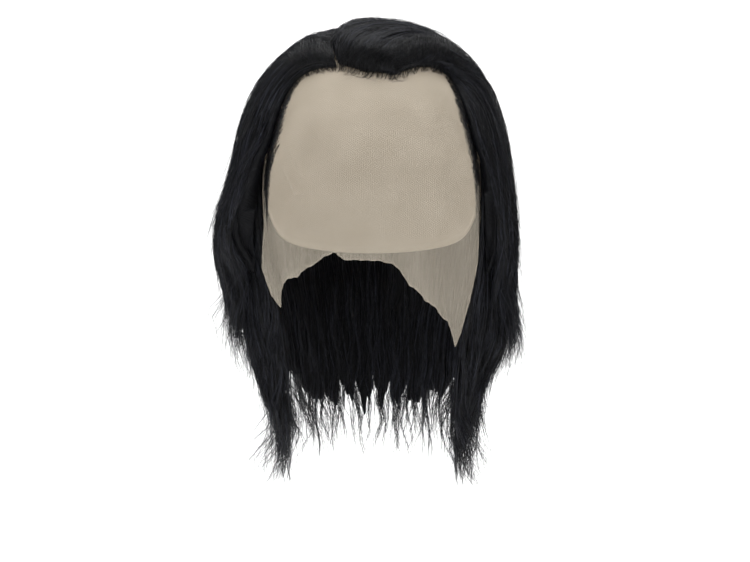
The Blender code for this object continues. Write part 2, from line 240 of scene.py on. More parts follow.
@dataclass(frozen=True)
class Flow:
    """One line that the upper hair follows, from root to tip.

    root, side and tip are azimuths, root_reach and tip_reach are reaches, and lift is the way
    that the line leaves its root in the flattened form. side_pull is how far above the side
    level the line is drawn straight down.
    """

    root: float
    root_reach: float
    lift_x: float
    lift_y: float
    side: float
    tip: float
    tip_reach: float
    side_pull: float = 45.0

    def place(self) -> Array:
        """Flattened place of the root."""
        return flat(self.root, self.root_reach)

    def line(self, v: Array) -> Array:
        """Flattened places along the line: a cubic Bezier to the side, then straight down.

        Args:
            v: 0 at the root, 1 at the tip, and past 1 beyond it.

        Returns:
            One place for each v.
        """
        entry, bend = flat(self.side, SIDE_REACH), flat(self.side, SIDE_REACH - self.side_pull)
        root, lifted = self.place(), self.place() + (self.lift_x, self.lift_y)
        split = (SIDE_REACH - CROWN_REACH) / (self.tip_reach - CROWN_REACH)
        t = np.clip(v / split, 0, 1)[:, None]
        curve = (1 - t) ** 3 * root + 3 * t * (1 - t) ** 2 * lifted
        curve += 3 * t**2 * (1 - t) * bend + t**3 * entry
        down = np.maximum((v - split) / (1 - split), 0)
        reach = SIDE_REACH + (self.tip_reach - SIDE_REACH) * down
        below = flat(self.side + (self.tip - self.side) * down, reach)
        return np.where((v < split)[:, None], curve, below)


@dataclass(frozen=True)
class Hang:
    """One line of the lower hair, which hangs straight from a start to a tip."""

    start: float
    start_reach: float
    tip: float
    tip_reach: float

    def line(self, v: Array) -> Array:
        """Flattened places along the line, straight from the start to the tip."""
        return flat(
            self.start + (self.tip - self.start) * v,
            self.start_reach + (self.tip_reach - self.start_reach) * v,
        )


TOP_LEFT = (
    Flow(-112, 65.5, -40, 22, -146, -168, 246),
    Flow(-127, 45, -28, 12, -164, -174, 256),
    Flow(-148, 32, -28, 8, -178, -183, 262),
    Flow(-180, 27, -28, 8, -195, -197, 260),
    Flow(-207, 27, -18, 10, -209, -209, 256),
    Flow(-225, 27, -14, 14, -222, -222, 252),
)
TOP_RIGHT = (
    Flow(120, 22, 12, 10, 42, 42, 252),
    Flow(153, 27, 30, 12, 30, 29, 258),
    Flow(180, 27, 34, 12, 19, 17, 264),
    Flow(212, 32, 32, 14, 10, 8, 268),
    Flow(233, 45, 20, 24, 6, 4, 268),
    Flow(248, 63, 8, 34, 2, 0, 268),
    Flow(265, 70.5, 8, 40, -6, -6, 262),
    Flow(282, 73.5, 12, 36, -13, -11, 256),
    Flow(302, 64.5, 18, 24, -23, -15, 250),
    Flow(326, 66.5, 12, 2, -34, -18, 242),
)
# The rows whose roots lie on the parting, and those whose roots lie on the hairline
PARTING_ROWS = TOP_LEFT[:4]
HAIRLINE_ROWS = TOP_RIGHT[5:]
TOP_BACK = (
    Flow(120, 22, 12, 10, 42, 42, 252),
    Flow(122, 23.5, 6, 14, 60, 60, 262),
    Flow(125, 25, 0, 16, 80, 80, 268),
    Flow(128, 26, -4, 16, 100, 100, 268),
    Flow(131, 26.5, -8, 15, 120, 120, 262),
    Flow(135, 27, -14, 14, 138, 138, 252),
)
LOWER_LEFT = (
    Hang(-160, 136, -164, 342),
    Hang(-172, 136, -174, 356),
    Hang(-186, 136, -187, 348),
    Hang(-204, 136, -204, 342),
    Hang(-222, 136, -222, 350),
)
LOWER_RIGHT = (
    Hang(42, 136, 42, 350),
    Hang(26, 136, 25, 346),
    Hang(8, 136, 7, 354),
    Hang(-12, 136, -10, 362),
    Hang(-27, 136, -19, 346),
)
LOWER_BACK = (
    Hang(138, 136, 138, 350),
    Hang(114, 136, 114, 358),
    Hang(90, 136, 90, 362),
    Hang(66, 136, 66, 358),
    Hang(42, 136, 42, 350),
)


@dataclass(frozen=True)
class HairBody:
    """Thickness of the whole head of hair over the form, in millimetres."""

    # drop, left, right, back, front
    thickness: tuple = (
        (0, 14, 14, 14, 14),
        (6, 13.5, 15.5, 16.5, 14.5),
        (20, 15, 18, 19, 13.5),
        (40, 18, 19, 20, 12.5),
        (64, 18.5, 18.5, 21, 12.5),
        (93, 21.5, 19, 23, 15),
        (125, 31.5, 22.5, 26, 17),
        (140, 34, 24.5, 28, 18),
        (165, 33, 27, 30, 19),
        (187, 32.5, 32.5, 31, 20),
        (205, 28.5, 33, 31, 20),
        (220, 25, 30, 29, 19),
        (240, 20, 21.5, 26, 16),
        (256, 18, 16, 22.5, 13.5),
        (280, 14, 20, 18, 11),
        (300, 12, 26, 13.5, 10),
        (320, 9, 21, 9, 8),
        (345, 6, 8, 6, 6),
    )
    # drop, share of the thickness that lies under the upper layer
    under: tuple = (
        (76, 0.0),
        (90, 0.2),
        (120, 0.4),
        (150, 0.55),
        (175, 0.7),
        (197, 0.84),
        (215, 0.94),
        (235, 1.0),
    )
    tier_rise: float = 7.0
    under_rise: float = 14.0
    edge_rise: float = 19.0
    parting_width: float = 6.5
    parting_share: float = 0.42
    # reaches below which the lower layer, not the upper one, is the front border
    border_left: float = 200.0
    border_right: float = 190.0

    @staticmethod
    def border(upper: Flow, lower: Hang, reach: float) -> Array:
        """Flattened places down one side: the upper row, and below the reach the lower row."""
        v = np.linspace(0, 1, 40)
        above, below = upper.line(v), lower.line(v)
        above = above[reach_at(above) < reach]
        return np.vstack([above, below[reach_at(below) >= reach]])

    def front_edge(self) -> Array:
        """Points of the free front border of the hair, from the left tip to the right tip."""
        left = self.border(TOP_LEFT[0], LOWER_LEFT[0], self.border_left)
        right = self.border(TOP_RIGHT[-1], LOWER_RIGHT[-1], self.border_right)
        roots = [flow.place() for flow in HAIRLINE_ROWS]
        return FORM.point(np.vstack([left[::-1], roots, right]))

    def parting(self) -> Array:
        """Points of the parting, from the hairline to the crown."""
        return FORM.point(np.array([flow.place() for flow in PARTING_ROWS]))

    def full(self, q: Array) -> Array:
        """Thickness over a flattened place.

        The table gives four sides, which blend by cos^2 and sin^2 of the azimuth. Near the
        front edge it falls as a quarter circle, and the parting takes a bell-shaped share.

        Args:
            q: flattened places.

        Returns:
            Thickness in millimetres.
        """
        turn = turn_at(q)
        drop = FORM.drop_of(reach_at(q))
        table = np.asarray(self.thickness, float)
        sides = smooth(table[:, 0], table[:, 1:], drop.ravel()).T
        left, right, back, front = (side.reshape(drop.shape) for side in sides)
        across = np.where(np.cos(turn) < 0, left, right) * np.cos(turn) ** 2
        full = across + np.where(np.sin(turn) < 0, front, back) * np.sin(turn) ** 2
        points = FORM.point(q)
        inward = np.clip(distance(points, self.front_edge()) / self.edge_rise, 0, 1)
        dip = bell(distance(points, self.parting()), self.parting_width)
        return full * np.sqrt(1 - (1 - inward) ** 2) * (1 - self.parting_share * dip)

    def under_share(self, q: Array) -> Array:
        """Share of the thickness that the lower layer takes, none of it at the front border."""
        keys, shares = np.transpose(self.under)
        inward = np.clip(distance(FORM.point(q), self.front_edge()) / self.under_rise, 0, 1)
        return np.interp(FORM.drop_of(reach_at(q)), keys, shares) * inward

    def tier(self, q: Array) -> Array:
        """0 above the lower layer and 1 over it, the share of the gap between the layers."""
        drop = FORM.drop_of(reach_at(q))
        return np.clip((drop - self.under[0][0]) / self.tier_rise, 0, 1)


HAIR = HairBody()


def node(tree: Tree, kind: str, settings: dict | None = None, **links: object) -> Node:
    """Adds a shader node with its settings, values and links.

    Args:
        tree: the material's node tree.
        kind: the node's type name without its ShaderNode prefix.
        settings: attributes of the node, such as a blend mode.
        links: socket name (underscores for spaces) or in0, in1 ... to a value or an output.

    Returns:
        The new node.
    """
    made = tree.nodes.new("ShaderNode" + kind)
    for name, value in (settings or {}).items():
        setattr(made, name, value)
    for name, value in links.items():
        key = int(name[2:]) if name[:2] == "in" and name[2:].isdigit() else name.replace("_", " ")
        socket = made.inputs[key]
        if isinstance(value, bpy.types.NodeSocket):
            tree.links.new(value, socket)
        else:
            socket.default_value = value
    return made


def new_material(name: str) -> tuple[Material, Tree]:
    """An empty node material and its tree."""
    material = bpy.data.materials.new(name)
    material.use_nodes = True
    material.node_tree.nodes.clear()
    return material, material.node_tree


def surface(tree: Tree, **looks: object) -> None:
    """Ends a material in one principled surface.

    Args:
        tree: the material's node tree.
        looks: socket name (underscores for spaces) to a value or an output.
    """
    shader = node(tree, "BsdfPrincipled", **looks)
    node(tree, "OutputMaterial", Surface=shader.outputs[0])


def calc(tree: Tree, operation: str, *values: object, clamp: bool = False) -> Socket:
    """Result of one calculation on up to three numbers or outputs, held in 0 to 1 with clamp."""
    settings = {"operation": operation, "use_clamp": clamp}
    return node(tree, "Math", settings, **{f"in{i}": value for i, value in enumerate(values)}).outputs[0]


def calc_vector(tree: Tree, operation: str, first: object, second: object) -> Socket:
    """Result of one calculation on two vectors: a number for a dot product or a distance."""
    made = node(tree, "VectorMath", {"operation": operation}, in0=first, in1=second)
    return made.outputs["Value" if operation in ("DOT_PRODUCT", "DISTANCE") else "Vector"]


def remap(tree: Tree, value: Socket, low: float, high: float, start: float = 0, end: float = 1) -> Socket:
    """The value moved from one range to another and held inside it."""
    made = node(tree, "MapRange", Value=value, From_Min=low, From_Max=high, To_Min=start, To_Max=end)
    return made.outputs[0]


def grain(tree: Tree, place: Socket, across: float, along: float, detail: int) -> Socket:
    """Soft noise in grains of this size across and along the piece's own map."""
    scaled = node(tree, "Mapping", Vector=place, Scale=(1 / across, 1 / along, 1)).outputs[0]
    noise = node(tree, "TexNoise", {"noise_dimensions": "2D"}, Vector=scaled, Scale=1, Detail=detail)
    return noise.outputs[0]


def mixed(tree: Tree, share: Socket, low: str, high: str) -> Socket:
    """Colour between two sRGB hex codes, the second one at a share of 1."""
    made = node(tree, "Mix", {"data_type": "RGBA"}, in0=share, in6=srgb(low), in7=srgb(high))
    return made.outputs[2]


def relief(tree: Tree, height: Socket, strength: float, depth: float) -> Socket:
    """Normals of a fine relief, its depth in millimetres."""
    return node(tree, "Bump", Strength=strength, Distance=depth * MM, Height=height).outputs[0]


@dataclass(frozen=True)
class HairFinish:
    """Black human hair, relaxed and slightly frizzy: fine streaks along it, a soft low gloss."""

    name: str = "black_hair"
    dark: str = "020203"
    light: str = "0e0f13"
    # the noise that turns from dark to light
    contrast: tuple = (0.35, 0.72)
    roughness: float = 0.46
    rougher: float = 0.12
    smoother: float = 0.06
    specular: float = 0.10
    # A hair is 0.08 mm. Streaks are drawn 0.9 mm apart, as coarse as they need to be to show
    streak_mm: float = 0.9
    run_mm: float = 26.0
    # how far the streaks wander sideways, and how wide and long their bends are
    wander_mm: float = 14.0
    bend_mm: tuple = (9.0, 40.0)
    bump: float = 0.9
    bump_mm: float = 0.5

    def make(self) -> Material:
        """The material, its streaks running along the piece's own UV map in millimetres."""
        material, tree = new_material(self.name)
        uv = node(tree, "UVMap", {"uv_map": "flow_mm"}).outputs[0]
        wander = calc(tree, "MULTIPLY", grain(tree, uv, *self.bend_mm, 3), self.wander_mm)
        moved = calc_vector(tree, "ADD", uv, node(tree, "CombineXYZ", X=wander).outputs[0])
        streak = grain(tree, moved, self.streak_mm, self.run_mm, 4)
        rough = (self.roughness + self.rougher, self.roughness - self.smoother)
        surface(
            tree,
            Base_Color=mixed(tree, remap(tree, streak, *self.contrast), self.dark, self.light),
            Roughness=remap(tree, streak, *NOISE_SPAN, *rough),
            Specular_IOR_Level=self.specular,
            Normal=relief(tree, streak, self.bump, self.bump_mm),
        )
        return material


@dataclass(frozen=True)
class StrandToneAndHighlight:
    """Loose strands of the same hair, seen one by one: each with its own chance tone, and the lighter
    blue-grey tone of the few light strands is a painted highlight.
    """

    name: str = "hair_strand"
    dark: str = "030304"
    # the light end of the strands' chance tones, blue-grey: a painted highlight, not the hair's own colour
    light: str = "2d2f38"
    roughness: float = 0.36
    specular: float = 0.20

    def make(self) -> Material:
        """The material, its chance tone, with a painted highlight at the light end, read from each strand's
        own attribute.
        """
        material, tree = new_material(self.name)
        shade = node(tree, "Attribute", {"attribute_name": "shade"}).outputs["Fac"]
        surface(
            tree,
            Base_Color=mixed(tree, shade, self.dark, self.light),
            Roughness=self.roughness,
            Specular_IOR_Level=self.specular,
        )
        return material


@dataclass(frozen=True)
class LaceFinish:
    """Sheer nylon tulle in beige: matt threads round open six-sided cells."""

    name: str = "sheer_tulle"
    thread: str = "cfc5b4"
    shade: str = "bdb3a2"
    roughness: float = 0.72
    specular: float = 0.3
    # Real cells are 0.5 mm. They are drawn 1.5 mm wide, as coarse as they need to be to show
    cell_mm: float = 1.5
    # the waves' total at a thread's side and at its middle
    thread_edge: tuple = (-0.2, -0.95)
    thread_alpha: float = 0.225
    hole_alpha: float = 0.14
    fold_alpha: float = 0.13
    crease_alpha: float = 0.10
    crease_mm: float = 1.0
    # clouds in the tone: their size, and the least and most that they change the cover by
    cloud_mm: tuple = (22.0, 30.0)
    cloud_cover: tuple = (0.96, 1.05)
    bump: float = 0.1
    bump_mm: float = 0.1

    def crease(self, tree: Tree, place: Socket, ends: Array) -> Socket:
        """1 on a crease's line and 0 beside it, by the distance to it, fading out to its ends.

        Args:
            tree: the material's node tree.
            place: the place on the net, in millimetres.
            ends: both ends, 2 by 2.

        Returns:
            The socket with that value.
        """
        run = ends[1] - ends[0]
        square = float(run @ run)
        run = (float(run[0]), float(run[1]), 0.0)
        begin = (float(ends[0][0]), float(ends[0][1]), 0.0)
        local = calc_vector(tree, "SUBTRACT", place, begin)
        share = calc(tree, "DIVIDE", calc_vector(tree, "DOT_PRODUCT", local, run), square, clamp=True)
        foot = node(tree, "VectorMath", {"operation": "SCALE"}, in0=run, Scale=share).outputs[0]
        line = remap(tree, calc_vector(tree, "DISTANCE", local, foot), self.crease_mm, 0)
        fade = calc(tree, "SINE", calc(tree, "MULTIPLY", share, math.pi))
        return calc(tree, "MULTIPLY", line, fade)

    def make(self, creases: list) -> Material:
        """The material: three cosines at 60 degrees add up to a six-sided net of threads.

        Args:
            creases: both ends of each crease on the net, in millimetres.

        Returns:
            The material.
        """
        material, tree = new_material(self.name)
        uv = node(tree, "UVMap", {"uv_map": "net_mm"}).outputs[0]
        pitch = self.cell_mm * math.sqrt(3) / 2
        total = 0.0
        for turn in (0, 60, 120):
            ray = (math.cos(math.radians(turn)), math.sin(math.radians(turn)), 0)
            along = calc_vector(tree, "DOT_PRODUCT", uv, ray)
            wave = calc(tree, "COSINE", calc(tree, "MULTIPLY", along, math.tau / pitch))
            total = calc(tree, "ADD", total, wave)
        thread = remap(tree, total, *self.thread_edge)
        cloud = grain(tree, uv, *self.cloud_mm, 2)
        net = remap(tree, thread, 0, 1, self.hole_alpha, self.thread_alpha)
        cover = calc(tree, "MULTIPLY", net, remap(tree, cloud, *NOISE_SPAN, *self.cloud_cover))
        fold = node(tree, "Attribute", {"attribute_name": "fold"}).outputs["Fac"]
        cover = calc(tree, "MULTIPLY_ADD", fold, self.fold_alpha, cover, clamp=True)
        for ends in creases:
            line = self.crease(tree, uv, ends)
            cover = calc(tree, "MULTIPLY_ADD", line, self.crease_alpha, cover, clamp=True)
        surface(
            tree,
            Base_Color=mixed(tree, cloud, self.shade, self.thread),
            Alpha=cover,
            Roughness=self.roughness,
            Specular_IOR_Level=self.specular,
            Normal=relief(tree, thread, self.bump, self.bump_mm),
        )
        return material


@dataclass(frozen=True)
class NetFinish:
    """Knitted stretch net of the cap in flesh beige: matt, with fine rows of loops."""

    name: str = "cap_stretch_net"
    thread: str = "aa9f8f"
    gap: str = "a09585"
    roughness: float = 0.85
    specular: float = 0.2
    # Loops are 0.8 mm apart, drawn at 1.8 mm across and 2.3 mm along so that they show
    pitch_mm: float = 1.8
    along_share: float = 1.3
    # the waves' product in a gap and on a thread
    thread_edge: tuple = (-0.6, 0.8)
    bump: float = 0.25
    bump_mm: float = 0.15

    def make(self) -> Material:
        """The material: loops as the product of two sines across and along the net."""
        material, tree = new_material(self.name)
        uv = node(tree, "UVMap", {"uv_map": "net_mm"}).outputs[0]
        across, along = node(tree, "SeparateXYZ", Vector=uv).outputs[:2]
        waves = []
        for socket, pitch in ((across, self.pitch_mm), (along, self.pitch_mm * self.along_share)):
            waves.append(calc(tree, "SINE", calc(tree, "MULTIPLY", socket, math.tau / pitch)))
        loops = calc(tree, "MULTIPLY", *waves)
        surface(
            tree,
            Base_Color=mixed(tree, remap(tree, loops, *self.thread_edge), self.gap, self.thread),
            Roughness=self.roughness,
            Specular_IOR_Level=self.specular,
            Normal=relief(tree, loops, self.bump, self.bump_mm),
        )
        return material


def mesh_of(name: str, points: Array, faces: Array) -> Mesh:
    """Mesh from whole arrays.

    Args:
        name: the mesh's name.
        points: corners in millimetres, n by 3.
        faces: corner numbers, m by 3 or m by 4.

    Returns:
        The mesh, shaded smooth.
    """
    mesh = bpy.data.meshes.new(name)
    sides = faces.shape[1]
    mesh.vertices.add(len(points))
    mesh.vertices.foreach_set("co", (points * MM).astype(np.float32).ravel())
    mesh.loops.add(faces.size)
    mesh.loops.foreach_set("vertex_index", faces.astype(np.int32).ravel())
    mesh.polygons.add(len(faces))
    mesh.polygons.foreach_set("loop_start", np.arange(0, faces.size, sides, dtype=np.int32))
    mesh.polygons.foreach_set("use_smooth", np.ones(len(faces), bool))
    mesh.update(calc_edges=True)
    mesh.validate()
    return mesh


def uv_map(mesh: Mesh, name: str, per_point: Array) -> None:
    """Writes a UV map from one pair of numbers for each corner point."""
    layer = mesh.uv_layers.new(name=name)
    corner = np.empty(len(mesh.loops), np.int32)
    mesh.loops.foreach_get("vertex_index", corner)
    layer.data.foreach_set("uv", per_point[corner].astype(np.float32).ravel())


def add_piece(mesh: Mesh, material: Material, stands_for: str) -> Piece:
    """Puts a piece in the scene, on the wig's one body.

    Args:
        mesh: its finished mesh, already in place.
        material: its finish.
        stands_for: the CAD node that it replaces.

    Returns:
        The new object.
    """
    mesh.materials.append(material)
    piece = bpy.data.objects.new(mesh.name, mesh)
    bpy.context.scene.collection.objects.link(piece)
    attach(piece, BODY)
    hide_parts(stands_for)
    log.info("%s: %d faces", piece.name, len(mesh.polygons))
    return piece


def grid_faces(rows: int, columns: int) -> Array:
    """Four-sided faces of a grid of points, row by row."""
    index = np.arange(rows * columns).reshape(rows, columns)
    quads = [index[:-1, :-1], index[1:, :-1], index[1:, 1:], index[:-1, 1:]]
    return np.stack(quads, axis=-1).reshape(-1, 4)


def closed_between(outer: Array, inner: Array) -> tuple[Array, Array]:
    """Closed body between two grids of points, joined round their rims.

    Args:
        outer: rows by columns by 3.
        inner: the same size.

    Returns:
        Points and four-sided faces.
    """
    rows, columns = outer.shape[:2]
    index = np.arange(rows * columns).reshape(rows, columns)
    top = grid_faces(rows, columns)
    under = top[:, ::-1] + rows * columns
    rim = np.concatenate([index[0], index[1:, -1], index[-1, -2::-1], index[-2:0:-1, 0]])
    after = np.roll(rim, -1)
    side = np.stack([rim, after, after + rows * columns, rim + rows * columns], axis=-1)
    points = np.concatenate([outer.reshape(-1, 3), inner.reshape(-1, 3)])
    return points, np.concatenate([top, under, side])


def face_outwards(mesh: Mesh, weld: float = 0.0) -> None:
    """Turns the faces of a closed mesh outwards.

    Args:
        mesh: the mesh, changed in place.
        weld: metres within which points are joined first, or 0 for none.
    """
    work = bmesh.new()
    work.from_mesh(mesh)
    if weld:
        bmesh.ops.remove_doubles(work, verts=work.verts, dist=weld)
    bmesh.ops.recalc_face_normals(work, faces=work.faces)
    work.to_mesh(mesh)
    work.free()


class Layer(Enum):
    """Which layer of hair a mass belongs to."""

    UPPER = "upper"
    LOWER = "lower"


@dataclass
class HairMass:
    """One mass of hair: its fused locks, and the strands over and past them.

    Lengths are millimetres. A share along the hair is 0 at the roots and 1 at the CAD's tips.
    """

    # the CAD node that it shows, its layer, and the lines that it follows from side to side
    name: str
    layer: Layer
    rows: tuple
    locks: int
    seed: int
    # loose strands, and short fine hairs that stand off
    strands: int
    frizzy: int = 700
    # how far strands run past the tips, and how far their ends stand out
    past: float = 0.16
    flick: float = 7.0
    # share of the strands that lie on the inside, and share that end in mid-length
    inner_share: float = 0.0
    layered: float = 0.14
    # how far strands sway, curl near their tips and kink
    wave: float = 1.3
    curl: float = 2.0
    kink: float = 0.14
    # how much tufts differ at their ends, and how near a tuft's strands come together
    uneven: float = 0.05
    gather: float = 0.7
    # share along at which the fused locks end, and how much the longest are cut back
    reach: float = 0.965
    even: float = 0.05
    # height over the form, gap between the layers and least thickness
    lift: float = 1.75
    tier_gap: float = 1.8
    thinnest: float = 1.2
    lock_depth: float = 3.4
    lock_notch: float = 26.0
    lock_ragged: float = 18.0
    tip_fade: float = 0.22
    # fine locks in each lock, and tufts in each lock
    fine_locks: int = 3
    tufts: int = 6
    # shortest wave and how much longer waves get, and where along curls and loose ends begin
    wave_length: float = 30.0
    wave_longer: float = 25.0
    curl_from: float = 0.6
    loose_from: float = 0.82
    # share of the strands that stray from the surface, by how much at least and how much more
    strays: float = 0.1
    stray: float = 2.0
    stray_more: float = 7.0
    # least radius and how much more: strands, then short hairs
    strand_radius: tuple = (0.12, 0.15)
    frizz_radius: tuple = (0.09, 0.08)
    # how far short hairs stand off at least and how much more, and their drift sideways
    frizz_off: tuple = (0.8, 6.0)
    frizz_drift: float = 8.0
    # the field's points across and along, and the share along that it goes to
    grid_u: int = 161
    grid_v: int = 131
    far: float = 1.24
    # reach past which the tips are held back, and the most that they pass it by
    hem: float = 352.0
    below_hem: float = 18.0
    grid: Array = field(init=False)
    across: Array = field(init=False)

    def lock_profile(self, u: Array) -> tuple[Array, Array]:
        """Height across the locks, the sine of a skewed half turn, and each column's lock."""
        place = np.clip(u, 0, 1) * self.locks
        lock = np.minimum(np.floor(place), self.locks - 1)
        return np.sin(np.pi * (place - lock) ** 1.25), lock

    def tip_lengths(self, u: Array) -> Array:
        """How much shorter than its row each column ends, in millimetres."""
        profile, lock = self.lock_profile(u)
        return self.lock_notch * (1 - profile) + self.lock_ragged * (1 + ragged(lock + 3)) / 2

    def places(self, u: Array, v: Array) -> Array:
        """Flattened places of a grid, v along the hair and u across it.

        Roots follow straight runs between the rows' roots, and lines blend by a cubic.
        """
        keys = np.linspace(0, 1, len(self.rows))
        if self.layer is Layer.LOWER:
            table = np.array([(r.start, r.start_reach, r.tip, r.tip_reach) for r in self.rows], float)
            start, start_reach, tip, tip_reach = smooth(keys, table, u).T
            length = tip_reach - self.tip_lengths(u) - start_reach
            return flat(start + (tip - start) * v[:, None], start_reach + length * v[:, None])
        roots = linear(keys, np.array([row.place() for row in self.rows]), u)
        lines = np.stack([row.line(v) - row.place() for row in self.rows])
        spread = smooth(keys, lines.reshape(len(self.rows), -1), u).reshape(len(u), len(v), 2)
        places = roots[:, None] + spread
        reach = reach_at(places)
        at_tip = np.array([row.tip_reach for row in self.rows], float)
        tip = smooth(keys, at_tip, u)
        below = np.clip((reach - SIDE_REACH) / (tip - SIDE_REACH), 0, None)
        shorter = 1 - self.tip_lengths(u)[:, None] * below / np.maximum(reach, 1)
        return (places * shorter[..., None]).transpose(1, 0, 2)

    def heights(self, places: Array) -> tuple[Array, Array]:
        """Lowest and highest height of the mass over the form, before its locks."""
        full = np.maximum(HAIR.full(places), self.thinnest)
        under = HAIR.under_share(places)
        if self.layer is Layer.LOWER:
            low = np.full(full.shape, self.lift)
            return low, np.maximum(self.lift + under * full, low + self.thinnest)
        low = self.lift + self.tier_gap * HAIR.tier(places) + under * full
        return low, self.lift + self.tier_gap + full

    def build_field(self) -> None:
        """Works out the mass on a fine grid that the strands are read from."""
        u = np.linspace(0, 1, self.grid_u)
        v = np.linspace(0, self.far, self.grid_v)
        places = self.places(u, v)
        reach = reach_at(places)
        past = np.maximum(reach - self.hem, 0)
        held = reach - past + self.below_hem * np.tanh(past / self.below_hem)
        places = places * (held / np.maximum(reach, 1))[..., None]
        low, high = self.heights(places)
        profile, lock = self.lock_profile(u)
        room = np.clip((high - low) / 12, 0, 1)
        dip = self.lock_depth * (1 - profile) + 0.9 * (1 + ragged(lock)) * profile
        fade = np.clip((1 - v) / self.tip_fade, 0, 1)[:, None]
        body = low + self.thinnest + np.maximum(high - low - self.thinnest, 0) * (1 - (1 - fade) ** 2)
        tops = np.maximum(body - dip * room, low + self.thinnest)
        point, normal = FORM.point(places), FORM.outward(places)
        surface = point + normal * tops[..., None]
        run = np.gradient(surface, axis=0)
        side = unit(np.cross(normal, run))
        length = np.cumsum(np.linalg.norm(run, axis=-1), axis=0)
        values = [surface, normal, side, low[..., None], tops[..., None], length[..., None]]
        self.grid = np.concatenate(values, axis=-1)
        way = way_along(surface[self.grid_v // 2])
        self.across = way / way[-1]

    def spread(self, share: Array) -> Array:
        """Place across for each share of the true width, so that steep borders get their part."""
        return np.interp(share, self.across, np.linspace(0, 1, self.grid_u))

    def read(self, u: Array, v: Array) -> Array:
        """Reads the field between its grid points: surface, normal, side, low, top, length.

        Args:
            u: place across, 0 to 1.
            v: place along, 0 to far.

        Returns:
            Twelve numbers for each pair.
        """
        grid = self.grid
        x = np.clip(u, 0, 1) * (self.grid_u - 1)
        y = np.clip(v / self.far, 0, 1) * (self.grid_v - 1)
        i, j = np.minimum(x.astype(int), self.grid_u - 2), np.minimum(y.astype(int), self.grid_v - 2)
        fx, fy = (x - i)[..., None], (y - j)[..., None]
        near = grid[j, i] * (1 - fx) + grid[j, i + 1] * fx
        far = grid[j + 1, i] * (1 - fx) + grid[j + 1, i + 1] * fx
        return near * (1 - fy) + far * fy

    def build_mass(self, material: Material, slot: str) -> Piece:
        """The fused locks, with finer locks over them as two ripples across the hair.

        Each fine lock ends at its own length, a little short of the tips, and thins out there
        with the eighth power of the way along, so that loose strands finish it.
        """
        border = 0.002
        parts = self.locks * self.fine_locks
        u = np.linspace(border, 1 - border, self.locks * 12 + 1)
        v = np.linspace(0, 1, 34)
        place = u * parts
        part = np.minimum(np.floor(place), parts - 1)
        notch = 1 - np.sin(np.pi * (place - part))
        end = self.reach - 0.035 * notch - 0.025 * (1 + ragged(part + 7))
        end = end - self.even * (1 - self.tip_lengths(u) / (self.lock_notch + self.lock_ragged))
        uu, vv = np.meshgrid(u, v)
        along = border + vv * (end - border)
        read = self.read(uu, along)
        normal, top, low = read[..., 3:6], read[..., 10], read[..., 9]
        fine = np.sin(uu * parts * math.tau + 2.2 * np.sin(vv * 5 + uu * 9))
        finer = np.sin(uu * parts * math.tau * 2 + 3.1 * np.sin(vv * 7 + uu * 23))
        room = np.clip((top - low - self.thinnest) / 6, 0, 1)
        drop = (0.55 * (1 - fine) + 0.25 * (1 - finer)) * room + 0.5 * room
        thin = (top - low - drop) * (1 - 0.85 * vv**8)
        inner = read[..., 0:3] - normal * (top - low)[..., None]
        outer = inner + normal * thin[..., None]
        points, faces = closed_between(outer, inner)
        mesh = mesh_of(self.name + "_locks", points, faces)
        across = np.cumsum(np.linalg.norm(np.diff(outer, axis=1), axis=-1), axis=1)
        across = np.pad(across, ((0, 0), (1, 0))) - across[:, len(u) // 2, None]
        flow = np.stack([across, read[..., 11]], axis=-1)
        beneath = flow + np.stack([top - low, 0 * top], axis=-1)
        uv_map(mesh, "flow_mm", np.concatenate([flow.reshape(-1, 2), beneath.reshape(-1, 2)]))
        face_outwards(mesh)
        return add_piece(mesh, material, self.name)

    def strand_spans(self, stage: Array, rng: np.random.Generator) -> tuple[Array, Array, Array]:
        """Where each strand begins and ends along the flow.

        One in seven starts at its root, two in five run past the tips, a share of them ends
        in mid-length with its tuft, as layered hair does, and the rest lie between.

        Args:
            stage: how far down each strand's tuft ends, 0 to 1.
            rng: seeded draws.

        Returns:
            Places along, 0 at the root and 1 at the CAD's tips, and which strands are layered.
        """
        one = stage.shape
        at_root, at_tip = 0.14, 0.60
        kind = rng.random(one)
        start = rng.random(one) * 0.74
        end = np.minimum(start + 0.22 + 0.3 * rng.random(one), 1.0)
        root, tip = kind < at_root, kind > at_tip
        layered = (kind > at_tip - self.layered) & ~tip
        start = np.where(root, rng.random(one) * 0.012, start)
        end = np.where(root, 0.12 + 0.3 * rng.random(one), end)
        end = np.where(tip, self.loose_from + (self.past + 0.08) * rng.random(one) ** 1.2, end)
        end = np.where(layered, 0.5 + 0.47 * stage + 0.07 * rng.random(one), end)
        start = np.where(tip | layered, end - 0.2 - 0.22 * rng.random(one), start)
        return np.maximum(start, 0), end, layered

